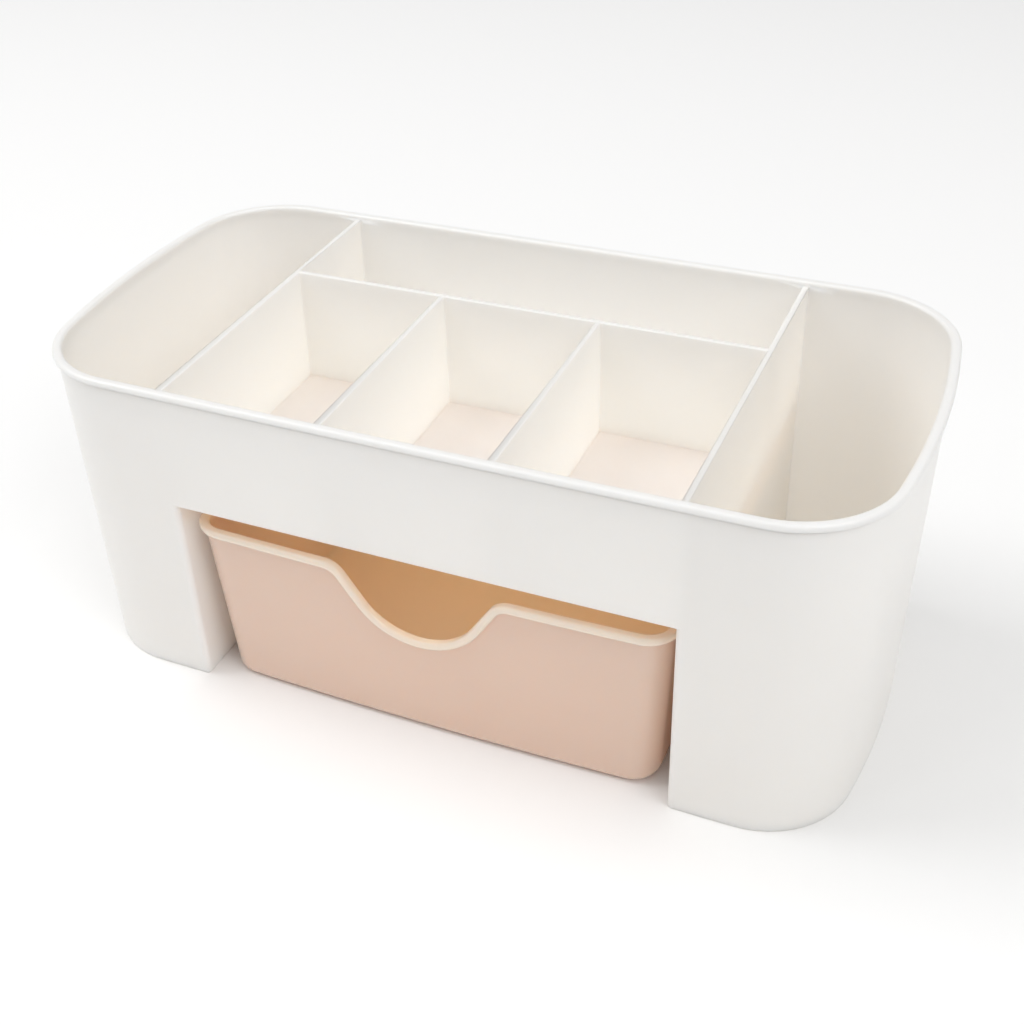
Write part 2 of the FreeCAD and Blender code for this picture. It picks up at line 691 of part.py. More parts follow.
bodies = (make_housing(), make_drawer())
check_model(bodies)
os.makedirs("parts", exist_ok=True)
for body in bodies:
    body.Shape.exportStep(f"parts/{body.Label}.step")
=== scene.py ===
"""Looks of a desktop make-up organizer: a white moulded housing and the peach drawer under its shelf.

Sizes are written in millimetres and become metres where meshes are made.
"""

import logging
import math
from collections.abc import Callable, Sequence
from dataclasses import dataclass, field
from enum import Enum

import bmesh
import bpy
from mathutils import Matrix, Vector

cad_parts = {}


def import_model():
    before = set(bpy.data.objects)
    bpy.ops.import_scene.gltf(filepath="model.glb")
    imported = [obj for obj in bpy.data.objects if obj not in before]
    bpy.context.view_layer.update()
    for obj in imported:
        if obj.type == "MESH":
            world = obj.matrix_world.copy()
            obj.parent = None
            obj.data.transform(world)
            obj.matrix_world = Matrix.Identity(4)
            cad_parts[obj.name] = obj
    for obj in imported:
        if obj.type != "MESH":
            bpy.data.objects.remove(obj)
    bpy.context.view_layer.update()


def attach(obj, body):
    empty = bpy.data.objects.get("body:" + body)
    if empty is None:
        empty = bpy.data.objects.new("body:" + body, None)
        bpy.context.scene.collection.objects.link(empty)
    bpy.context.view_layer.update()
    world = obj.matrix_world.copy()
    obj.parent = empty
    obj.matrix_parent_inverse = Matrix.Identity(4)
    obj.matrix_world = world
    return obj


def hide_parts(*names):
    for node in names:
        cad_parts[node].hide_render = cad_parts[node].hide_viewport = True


log = logging.getLogger("organizer")

MM = 0.001
# point attribute that masks a painted highlight on the drawer's bead, standing in for the gloss that light
# puts there
PAINTED_HIGHLIGHT_MASK = "painted_highlight_mask"
QUARTER = math.pi / 2
PLAIN_WHITE = (1.0, 1.0, 1.0)
FACE_NORMAL_WEIGHT = 90

Flat = tuple[float, float]
Spot = tuple[float, float, float]
Colour = tuple[float, float, float]


class BooleanKind(Enum):
    """How one solid acts on another."""

    JOIN = "UNION"
    CUT = "DIFFERENCE"


class Stretch(Enum):
    """Stretches of the drawer's outline, in the order in which they run round it."""

    FRONT = "front"
    RIGHT_FRONT = "right front corner"
    RIGHT = "right"
    RIGHT_BACK = "right back corner"
    BACK = "back"
    LEFT_BACK = "left back corner"
    LEFT = "left"
    LEFT_FRONT = "left front corner"


def between(low: float, high: float, share: float) -> float:
    """Returns the value at a share of the way from low to high."""
    return low + (high - low) * share


def spread(low: float, high: float, steps: int) -> list[float]:
    """Returns steps + 1 values, evenly from low to high."""
    return [between(low, high, i / steps) for i in range(steps + 1)]


def bow_radius(chord: float, bow: float) -> float:
    """Returns the radius of an arc that stands out by a bow over a chord."""
    return ((chord / 2) ** 2 + bow**2) / (2 * bow)


def ring_mesh(name: str, rings: Sequence[Sequence[Spot]]) -> bpy.types.Object:
    """Makes a closed mesh through stacked rings and closes its first and last ring with flat faces.

    Args:
        name: The object's name.
        rings: Rings of equal length in millimetres, each anticlockwise seen from above, from the underside
            up the outside and down the inside.

    Returns:
        The new object, linked to the scene.
    """
    mesh = bpy.data.meshes.new(name)
    count = len(rings[0])
    spots = [tuple(value * MM for value in spot) for ring in rings for spot in ring]
    faces = [tuple(reversed(range(count)))]
    for low in range(0, (len(rings) - 1) * count, count):
        for i in range(count):
            j = (i + 1) % count
            faces.append((low + i, low + j, low + count + j, low + count + i))
    faces.append(tuple(range((len(rings) - 1) * count, len(rings) * count)))
    mesh.from_pydata(spots, [], faces)
    mesh.validate()
    made = bpy.data.objects.new(name, mesh)
    bpy.context.scene.collection.objects.link(made)
    return made


def prism(name: str, low: Sequence[Spot], high: Sequence[Spot]) -> bpy.types.Object:
    """Makes a solid between two outlines of equal length.

    Args:
        name: The object's name.
        low: The outline at one end, in millimetres.
        high: The outline at the other end.

    Returns:
        The new object, its faces pointing outwards.
    """
    made = ring_mesh(name, [low, high])
    work = bmesh.new()
    work.from_mesh(made.data)
    bmesh.ops.recalc_face_normals(work, faces=work.faces)
    work.to_mesh(made.data)
    work.free()
    return made


def frozen(made: bpy.types.Object) -> bpy.types.Object:
    """Applies an object's modifiers, in order.

    Args:
        made: The object.

    Returns:
        The same object, with a plain mesh.
    """
    bpy.context.view_layer.update()
    graph = bpy.context.evaluated_depsgraph_get()
    mesh = bpy.data.meshes.new_from_object(made.evaluated_get(graph), depsgraph=graph)
    old = made.data
    made.modifiers.clear()
    made.data = mesh
    bpy.data.meshes.remove(old)
    mesh.name = made.name
    return made


def combine(
    base: bpy.types.Object, tools: Sequence[tuple[bpy.types.Object, BooleanKind]]
) -> bpy.types.Object:
    """Joins solids to a base and cuts others from it.

    Args:
        base: The solid that is changed.
        tools: Each solid to use, and how. They are removed afterwards.

    Returns:
        The base with a plain mesh.
    """
    for tool, kind in tools:
        step = base.modifiers.new(tool.name, "BOOLEAN")
        step.operation = kind.value
        step.solver = "EXACT"
        step.object = tool
    frozen(base)
    for tool, _ in tools:
        bpy.data.objects.remove(tool)
    return base


def smooth(made: bpy.types.Object) -> None:
    """Shades a piece smoothly, with normals that follow its large faces.

    Args:
        made: The piece, whose mesh is changed.
    """
    made.data.shade_smooth()
    step = made.modifiers.new("normals", "WEIGHTED_NORMAL")
    step.mode = "FACE_AREA"
    step.weight = FACE_NORMAL_WEIGHT
    step.keep_sharp = False
    frozen(made)


@dataclass(frozen=True)
class CrownedOutline:
    """A rounded rectangle whose four sides crown outwards, as tangent arcs. Sizes in millimetres."""

    length: float
    width: float
    corner: float
    side_bow: float
    end_bow: float

    def towards(self, other: "CrownedOutline", share: float) -> "CrownedOutline":
        """Returns the outline at a share of the way to another."""
        return CrownedOutline(
            between(self.length, other.length, share),
            between(self.width, other.width, share),
            between(self.corner, other.corner, share),
            between(self.side_bow, other.side_bow, share),
            between(self.end_bow, other.end_bow, share),
        )

    def side_circle(self) -> Flat:
        """Returns the back side's arc as the height of its centre and its radius."""
        radius = bow_radius(self.length, self.side_bow)
        return self.width / 2 - radius, radius

    def side_y(self, x: float, inset: float = 0.0) -> float:
        """Returns how far back the back side is at an X, for an outline drawn further in by inset."""
        centre, radius = self.side_circle()
        return centre + math.sqrt((radius - inset) ** 2 - x**2)

    def corner_centre(self) -> Flat:
        """Finds the right back corner's arc, which touches the side's arc and the end's from inside.

        Returns:
            The centre of the arc.
        """
        centre_y, side_radius = self.side_circle()
        end_radius = bow_radius(self.width, self.end_bow)
        centre_x = self.length / 2 - end_radius
        apart = math.hypot(centre_x, centre_y)
        to_side = side_radius - self.corner
        to_end = end_radius - self.corner
        along = (to_side**2 - to_end**2 + apart**2) / (2 * apart)
        across = math.sqrt(to_side**2 - along**2)
        unit = (centre_x / apart, -centre_y / apart)
        found = [
            (unit[0] * along - unit[1] * across * turn, centre_y + unit[1] * along + unit[0] * across * turn)
            for turn in (1, -1)
        ]
        return max(found, key=min)

    def points(
        self, inset: float, side_places: Sequence[float], corner_steps: int, end_steps: int
    ) -> list[Flat]:
        """Places points round the outline.

        Args:
            inset: How far further in the points lie.
            side_places: X of the points on the right half of each long side, from the middle outwards.
            corner_steps: Divisions of each corner's arc.
            end_steps: Divisions of half of each end's arc.

        Returns:
            The points, anticlockwise from the middle of the right end.
        """
        centre = self.corner_centre()
        side_centre, _ = self.side_circle()
        end_radius = bow_radius(self.width, self.end_bow)
        end_centre = self.length / 2 - end_radius
        on_end = math.atan2(centre[1], centre[0] - end_centre)
        on_side = math.atan2(centre[1] - side_centre, centre[0])
        quarter: list[Flat] = []
        for angle in spread(0, on_end, end_steps)[:-1]:
            reach = end_radius - inset
            quarter.append((end_centre + reach * math.cos(angle), reach * math.sin(angle)))
        for angle in spread(on_end, on_side, corner_steps):
            reach = self.corner - inset
            quarter.append((centre[0] + reach * math.cos(angle), centre[1] + reach * math.sin(angle)))
        quarter += [(x, self.side_y(x, inset)) for x in reversed(side_places)]
        half = quarter + [(-x, y) for x, y in reversed(quarter[:-1])]
        return half + [(x, -y) for x, y in reversed(half[1:-1])]


@dataclass
class Housing:
    """The white moulding: tapered wall with a rolled rim, end compartments, shelf and partitions.

    All sizes are in millimetres, and the same as those of the solid that it stands for.
    """

    height: float = 92.0
    foot: CrownedOutline = CrownedOutline(214.4, 104.0, 23.7, 0.1, 6.8)
    top: CrownedOutline = CrownedOutline(217.8, 109.8, 25.4, 0.6, 6.2)
    rim_band: float = 2.0
    rim_lip: float = 1.1
    rim_round: float = 0.85
    rim_root_round: float = 0.25
    wall: float = 1.5
    floor: float = 1.6
    floor_round: float = 1.2
    bay_half: float = 65.2
    bay_height: float = 57.5
    shelf_top: float = 58.8
    tower_wall: float = 1.7
    partition: float = 1.4
    partition_top: float = 90.8
    draft: float = math.tan(math.radians(0.9))
    long_place: float = 17.0
    cross_place: float = 21.8
    mouth_round: float = 1.6
    mouth_top_round: float = 0.45
    foot_round: float = 0.6
    partition_round: float = 0.4
    junction_round: float = 0.4
    bay_below: float = 5.0
    bay_before: float = 80.0
    plate_root: float = 0.5
    plate_overlap: float = 0.5
    side_places: tuple[float, ...] = (0.0, 10.0, 31.0, 44.0, 57.0, 74.0)
    corner_steps: int = 20
    end_steps: int = 7
    outside_low: float = 30.0
    outside_over_bay: float = 3.0
    outside_under_rim: float = 6.0
    inside_under_top: float = 1.5
    inside_under_shelf: float = 3.0
    inside_low: float = 25.0
    rim_root_steps: int = 3
    rim_steps: int = 5
    floor_steps: int = 4
    edge_steps: int = 6
    sharp: float = math.radians(25)
    ground: float = 0.01
    near: float = 0.02
    near_outside: float = 0.1
    shortest_jamb: float = 1.0
    weld: float = 0.002

    def wall_top(self) -> float:
        """Returns the height at which the wall ends and the rim's band begins."""
        return self.height - self.rim_band

    def outline(self, z: float) -> CrownedOutline:
        """Returns the wall's outer outline at a height; above the wall it stays as at its top."""
        return self.foot.towards(self.top, min(z / self.wall_top(), 1.0))

    def ring(self, z: float, inset: float) -> list[Spot]:
        """Returns a ring of spots round the wall at a height, drawn further in by inset."""
        flat = self.outline(z).points(inset, self.side_places, self.corner_steps, self.end_steps)
        return [(x, y, z) for x, y in flat]

    def profile(self) -> list[Flat]:
        """Lays out the wall's section: up the outside, over the rim and down the inside.

        Returns:
            Its points as inset and height.
        """
        low, high = self.wall_top(), self.height
        rows: list[Flat] = [(0, 0), (0, self.outside_low)]
        rows += [(0, self.bay_height + self.outside_over_bay), (0, low - self.outside_under_rim)]
        small = self.rim_root_round
        for turn in spread(0, QUARTER, self.rim_root_steps):
            rows.append((-small * (1 - math.cos(turn)), low - small + small * math.sin(turn)))
        big = self.rim_round
        out = big - self.rim_lip
        for turn in spread(0, QUARTER, self.rim_steps)[1:]:
            rows.append((out - big * math.sin(turn), low + big * (1 - math.cos(turn))))
        for turn in spread(0, QUARTER, self.rim_steps):
            rows.append((out - big * math.cos(turn), high - big * (1 - math.sin(turn))))
        for turn in spread(0, QUARTER, self.rim_steps):
            rows.append((self.wall - big * (1 - math.sin(turn)), high - big * (1 - math.cos(turn))))
        levels = (
            self.partition_top - self.inside_under_top,
            self.shelf_top - self.inside_under_shelf,
            self.inside_low,
        )
        rows += [(self.wall, level) for level in levels]
        deep = self.floor_round
        for turn in spread(0, QUARTER, self.floor_steps):
            rows.append((self.wall + deep * (1 - math.cos(turn)), self.floor + deep * (1 - math.sin(turn))))
        return rows

    def tub(self) -> bpy.types.Object:
        """Returns the wall with its rim and a floor all over."""
        return ring_mesh("housing_shell", [self.ring(z, inset) for inset, z in self.profile()])

    def in_wall(self, z: float) -> float:
        """Returns how far back the middle of the back wall's thickness is at a height."""
        return self.outline(z).width / 2 - self.wall / 2

    def tower_side(self, z: float) -> float:
        """Returns the X of the face of the wall beside the right end compartment at a height."""
        return self.bay_half + self.tower_wall + (self.shelf_top - z) * self.draft

    def middle_block(self) -> bpy.types.Object:
        """Makes the block between the end compartments, up to the shelf, with the end partitions on it.

        Returns:
            The new object.
        """
        root = self.floor / 2
        top = self.partition_top
        end_top = self.tower_side(top) - self.partition
        end_root = end_top - (top - self.shelf_top) * self.draft
        right = [
            (self.tower_side(root), root),
            (self.tower_side(top), top),
            (end_top, top),
            (end_root, self.shelf_top),
        ]
        section = right + [(-x, z) for x, z in reversed(right)]
        front = [(x, -self.in_wall(z), z) for x, z in section]
        back = [(x, self.in_wall(z), z) for x, z in section]
        return prism("middle_block", front, back)

    def bay(self) -> bpy.types.Object:
        """Makes the space for the drawer, run out through the front wall and the underside.

        Returns:
            The new object, which is cut from the rest.
        """
        levels = []
        places = [x for x in self.side_places if x < self.bay_half]
        xs = [-self.bay_half] + [-x for x in reversed(places[1:])] + places + [self.bay_half]
        for z in (-self.bay_below, self.bay_height):
            outline = self.foot.towards(self.top, z / self.wall_top())
            back = [(x, outline.side_y(x, self.wall), z) for x in reversed(xs)]
            front = [(-self.bay_half, -self.bay_before, z), (self.bay_half, -self.bay_before, z)]
            levels.append(front + back)
        return prism("bay_space", *levels)

    def plate(self, name: str, x: float | None, y: float | None) -> bpy.types.Object:
        """Makes one drafted partition over the shelf, rooted in the shelf and the walls.

        Args:
            name: The object's name.
            x: The middle plane of a partition that runs from front to back, or None.
            y: The middle plane of a partition that runs from left to right, or None.

        Returns:
            The new object.
        """
        levels = []
        for z in (between(self.bay_height, self.shelf_top, self.plate_root), self.partition_top):
            half = self.partition / 2 + (self.partition_top - z) * self.draft
            if y is None:
                ends = (x - half, x + half, -self.in_wall(z), self.long_place)
            else:
                reach = self.bay_half + self.plate_overlap
                ends = (-reach, reach, y - half, y + half)
            left, right, front, back = ends
            levels.append([(left, front, z), (right, front, z), (right, back, z), (left, back, z)])
        return prism(name, *levels)

    def roundings(self, edge: bmesh.types.BMEdge) -> float:
        """Tells how far an edge of the joined solid is rounded.

        Args:
            edge: The edge, with its ends in metres.

        Returns:
            The radius in millimetres, 0 for an edge that stays.
        """
        ends = [vert.co / MM for vert in edge.verts]
        if len(edge.link_faces) != 2 or edge.calc_face_angle() < self.sharp:
            return 0.0
        low, high = sorted(end.z for end in ends)
        middle = (ends[0] + ends[1]) / 2
        outside = self.outline(middle.z).side_y(middle.x) + middle.y < self.near_outside
        if high < self.ground:
            return self.foot_round
        on_jamb = all(abs(abs(end.x) - self.bay_half) < self.near for end in ends)
        if on_jamb and outside and high - low > self.shortest_jamb:
            return self.mouth_round
        if outside and all(abs(z - self.bay_height) < self.near for z in (low, high)):
            return self.mouth_top_round
        on_top = low > self.partition_top - self.near
        if edge.is_convex:
            return self.partition_round if on_top else 0.0
        return 0.0 if on_top else self.junction_round

    def round_edges(self, made: bpy.types.Object) -> None:
        """Rounds the edges of the joined solid, each by its own radius.

        Args:
            made: The joined solid, whose mesh is changed.
        """
        work = bmesh.new()
        work.from_mesh(made.data)
        bmesh.ops.remove_doubles(work, verts=work.verts, dist=self.weld * MM)
        bmesh.ops.dissolve_degenerate(work, edges=work.edges, dist=self.weld * MM)
        weights = work.edges.layers.float.new("bevel_weight_edge")
        for edge in work.edges:
            edge[weights] = self.roundings(edge) / self.mouth_round
        work.to_mesh(made.data)
        work.free()
        step = made.modifiers.new("rounding", "BEVEL")
        step.limit_method = "WEIGHT"
        step.width = self.mouth_round * MM
        step.segments = self.edge_steps
        step.use_clamp_overlap = False
        frozen(made)

    def build(self) -> bpy.types.Object:
        """Makes the whole moulding.

        Returns:
            The finished piece, one plain mesh.
        """
        made = combine(
            self.tub(),
            [
                (self.middle_block(), BooleanKind.JOIN),
                (self.plate("left_cross", -self.cross_place, None), BooleanKind.JOIN),
                (self.plate("right_cross", self.cross_place, None), BooleanKind.JOIN),
                (self.plate("long_partition", None, self.long_place), BooleanKind.JOIN),
                (self.bay(), BooleanKind.CUT),
            ],
        )
        self.round_edges(made)
        smooth(made)
        return made


@dataclass(frozen=True)
class BowedOutline:
    """A rounded rectangle whose front and back crown outwards and whose ends are straight. Millimetres."""

    length: float
    width: float
    corner: float
    bow: float

    def front_y(self, x: float, inset: float) -> float:
        """Returns how far the front and the back stand from the middle line at an X, further in by inset."""
        radius = bow_radius(self.length, self.bow)
        return self.width / 2 - radius + math.sqrt((radius - inset) ** 2 - x**2)

    def corner_centre(self) -> Flat:
        """Finds the right back corner's arc, which touches the back's arc and the straight end.

        Returns:
            The centre of the arc.
        """
        radius = bow_radius(self.length, self.bow)
        x = self.length / 2 - self.corner
        return x, self.width / 2 - radius + math.sqrt((radius - self.corner) ** 2 - x**2)

    def place(self, stretch: Stretch, share: float, inset: float) -> Flat:
        """Finds a point of the outline, or of one drawn further in.

        Args:
            stretch: The stretch of the outline.
            share: X in millimetres on the front and the back, and elsewhere the share of the stretch, taken
                anticlockwise.
            inset: How far further in the point lies.

        Returns:
            The point, from the outline's own middle.
        """
        x, y = self.corner_centre()
        if stretch in (Stretch.FRONT, Stretch.BACK):
            turn = -1 if stretch is Stretch.FRONT else 1
            return share, turn * self.front_y(share, inset)
        if stretch in (Stretch.RIGHT, Stretch.LEFT):
            turn = 1 if stretch is Stretch.RIGHT else -1
            return turn * (self.length / 2 - inset), turn * between(-y, y, share)
        radius = bow_radius(self.length, self.bow)
        on_side = math.atan2(y - (self.width / 2 - radius), x)
        start = {
            Stretch.RIGHT_FRONT: -on_side,
            Stretch.RIGHT_BACK: 0.0,
            Stretch.LEFT_BACK: math.pi - on_side,
            Stretch.LEFT_FRONT: math.pi,
        }[stretch]
        angle = start + share * on_side
        side_x = 1 if stretch in (Stretch.RIGHT_FRONT, Stretch.RIGHT_BACK) else -1
        side_y = 1 if stretch in (Stretch.RIGHT_BACK, Stretch.LEFT_BACK) else -1
        reach = self.corner - inset
        return side_x * x + reach * math.cos(angle), side_y * y + reach * math.sin(angle)


@dataclass(frozen=True)
class Column:
    """One upright line of the drawer's wall.

    It has a stretch, a place on it, and a height on the rim's curve, where the line towards the bead's
    underside leans along X by lean and goes down by drop.
    """

    stretch: Stretch
    share: float
    rim_height: float
    lean: float = 0.0
    drop: float = 1.0


@dataclass
class Drawer:
    """The peach moulding: a drafted tub whose beaded rim dips through a finger scoop. Millimetres."""

    top: float = 50.6
    length: float = 129.0
    corner: float = 8.3
    foot_corner: float = 8.9
    bow: float = 1.3
    draw: float = 2.8
    wall: float = 1.4
    floor: float = 1.5
    foot_round: float = 3.0
    floor_round: float = 1.8
    bead_height: float = 2.2
    bead_lip: float = 1.4
    bead_round: float = 0.9
    bead_root_round: float = 0.35
    scoop_depth: float = 18.6
    scoop_radius: float = 17.3
    scoop_slope: float = math.radians(57)
    scoop_flare: float = 6.2
    front: float = 53.13
    back: float = 51.13
    flat_margin: float = 1.5
    dip_steps: int = 14
    slope_steps: int = 4
    flare_steps: int = 8
    flat_steps: int = 3
    back_steps: int = 8
    end_steps: int = 7
    corner_steps: int = 12
    foot_steps: int = 7
    wall_steps: int = 5
    bead_root_steps: int = 3
    bead_steps: int = 6
    floor_steps: int = 6
    columns: list[Column] = field(default_factory=list)
    bead_span: tuple[int, int] = (0, 0)

    def rim(self) -> BowedOutline:
        """Returns the outline of the bead's outer face at the rim."""
        return BowedOutline(self.length, self.front + self.back, self.corner, self.bow)

    def foot(self) -> BowedOutline:
        """Returns the outline at the foot, as wide as a bead there would be."""
        depth = self.front + self.back - 2 * self.draw
        return BowedOutline(self.length - 2 * self.draw, depth, self.foot_corner, self.bow)

    def flat_end(self) -> float:
        """Returns the X at which the columns of the front and the back end, short of the corners."""
        return self.foot().corner_centre()[0] - self.flat_margin

    def scoop_curve(self) -> list[Column]:
        """Lays out the front over the scoop: its round dip, straight slopes and flares.

        Returns:
            The front's columns, from left to right.
        """
        slope, flare, radius = self.scoop_slope, self.scoop_flare, self.scoop_radius
        out = (math.sin(slope), -math.cos(slope))
        up = (math.cos(slope), math.sin(slope))
        dip_height = self.top - self.scoop_depth + radius
        flare_height = self.top - flare
        climb = (flare_height - (dip_height + out[1] * (radius + flare))) / up[1]
        flare_x = out[0] * (radius + flare) + up[0] * climb
        right: list[Column] = []
        for turn in spread(0, slope, self.dip_steps):
            lean, drop = math.sin(turn), math.cos(turn)
            right.append(Column(Stretch.FRONT, radius * lean, dip_height - radius * drop, lean, drop))
        low, high = right[-1], (flare_x - out[0] * flare, flare_height - out[1] * flare)
        for share in spread(0, 1, self.slope_steps)[1:]:
            x = between(low.share, high[0], share)
            right.append(Column(Stretch.FRONT, x, between(low.rim_height, high[1], share), out[0], -out[1]))
        for turn in spread(slope, 0, self.flare_steps)[1:]:
            lean, drop = math.sin(turn), math.cos(turn)
            x = flare_x - flare * lean
            right.append(Column(Stretch.FRONT, x, flare_height + flare * drop, lean, drop))
        for x in spread(flare_x, self.flat_end(), self.flat_steps)[1:]:
            right.append(Column(Stretch.FRONT, x, self.top))
        left = [Column(c.stretch, -c.share, c.rim_height, -c.lean, c.drop) for c in reversed(right[1:])]
        return left + right

    def lay_out(self) -> None:
        """Fills in all columns, anticlockwise from the left of the front."""
        last = self.flat_end()
        self.columns = self.scoop_curve()
        for stretch in list(Stretch)[1:]:
            if stretch is Stretch.BACK:
                shares = spread(last, -last, self.back_steps)
            elif stretch in (Stretch.RIGHT, Stretch.LEFT):
                shares = spread(0, 1, self.end_steps)[1:-1]
            else:
                shares = spread(0, 1, self.corner_steps)
            self.columns += [Column(stretch, share, self.top) for share in shares]

    def spot(self, column: Column, shift: float, z: float, inset: float) -> Spot:
        """Finds a spot of the wall.

        Args:
            column: The column that it belongs to.
            shift: How far along X the spot lies from the column's place, on the front.
            z: Its height.
            inset: How far it lies in from the bead's outer face.

        Returns:
            The spot, in the housing's frame.
        """
        share = z / self.top
        place = column.share + shift if column.stretch is Stretch.FRONT else column.share
        low = self.foot().place(column.stretch, place, inset)
        high = self.rim().place(column.stretch, place, inset)
        middle = (self.back - self.front) / 2
        return between(low[0], high[0], share), between(low[1], high[1], share) + middle, z

    def bead_rows(self) -> list[Flat]:
        """Lays out the bead's section, from outside to inside.

        Returns:
            Its points as inset and depth under the rim's curve.
        """
        root, big, deep = self.bead_root_round, self.bead_round, self.bead_height
        lip, wall = self.bead_lip, self.bead_lip + self.wall
        turns = spread(0, QUARTER, self.bead_steps)
        rows = [
            (lip - root * (1 - math.cos(turn)), deep + root * (1 - math.sin(turn)))
            for turn in spread(0, QUARTER, self.bead_root_steps)
        ]
        rows += [(big - big * math.sin(turn), deep - big * (1 - math.cos(turn))) for turn in turns]
        rows += [(big - big * math.cos(turn), big * (1 - math.sin(turn))) for turn in turns]
        rows += [(wall - big * (1 - math.sin(turn)), big * (1 - math.cos(turn))) for turn in turns]
        return rows + [(wall, deep + root)]

    def rings(self) -> list[list[Spot]]:
        """Lays out the tub and notes which rings are the bead's.

        Returns:
            All rings, up the outside, over the bead and down the inside.
        """
        rings: list[list[Spot]] = []
        under = self.bead_height + self.bead_root_round
        lip, wall = self.bead_lip, self.bead_lip + self.wall

        def ring(inset: float, height: Callable[[Column], float]) -> None:
            """Adds a ring at an inset, whose columns stand straight under the bead."""
            rings.append([self.spot(c, c.lean * under, height(c), inset) for c in self.columns])

        def wall_top(column: Column) -> float:
            """Returns the height at which a column meets the bead."""
            return column.rim_height - column.drop * under

        for turn in spread(0, QUARTER, self.foot_steps):
            level = self.foot_round * (1 - math.cos(turn))
            ring(lip + self.foot_round * (1 - math.sin(turn)), lambda column, z=level: z)
        for share in spread(0, 1, self.wall_steps)[1:-1]:
            ring(lip, lambda column, part=share: between(self.foot_round, wall_top(column), part))
        rows = self.bead_rows()
        self.bead_span = (len(rings) + self.bead_root_steps, len(rings) + len(rows) - 1)
        for inset, depth in rows:
            rings.append(
                [self.spot(c, c.lean * depth, c.rim_height - c.drop * depth, inset) for c in self.columns]
            )
        floor_top = self.floor + self.floor_round
        for share in spread(1, 0, self.wall_steps)[1:-1]:
            ring(wall, lambda column, part=share: between(floor_top, wall_top(column), part))
        for turn in spread(0, QUARTER, self.floor_steps):
            level = self.floor + self.floor_round * (1 - math.sin(turn))
            ring(wall + self.floor_round * (1 - math.cos(turn)), lambda column, z=level: z)
        return rings

    def build(self) -> bpy.types.Object:
        """Makes the whole moulding, with the bead marked by a point attribute for the painted highlight.

        Returns:
            The finished piece, one plain mesh.
        """
        self.lay_out()
        made = ring_mesh("drawer_tub", self.rings())
        # marks the bead's rings for the painted highlight
        bead_highlight_mask = made.data.attributes.new(PAINTED_HIGHLIGHT_MASK, "FLOAT", "POINT")
        first, end = (place * len(self.columns) for place in self.bead_span)
        for i in range(first, end):
            bead_highlight_mask.data[i].value = 1.0
        smooth(made)
        return made


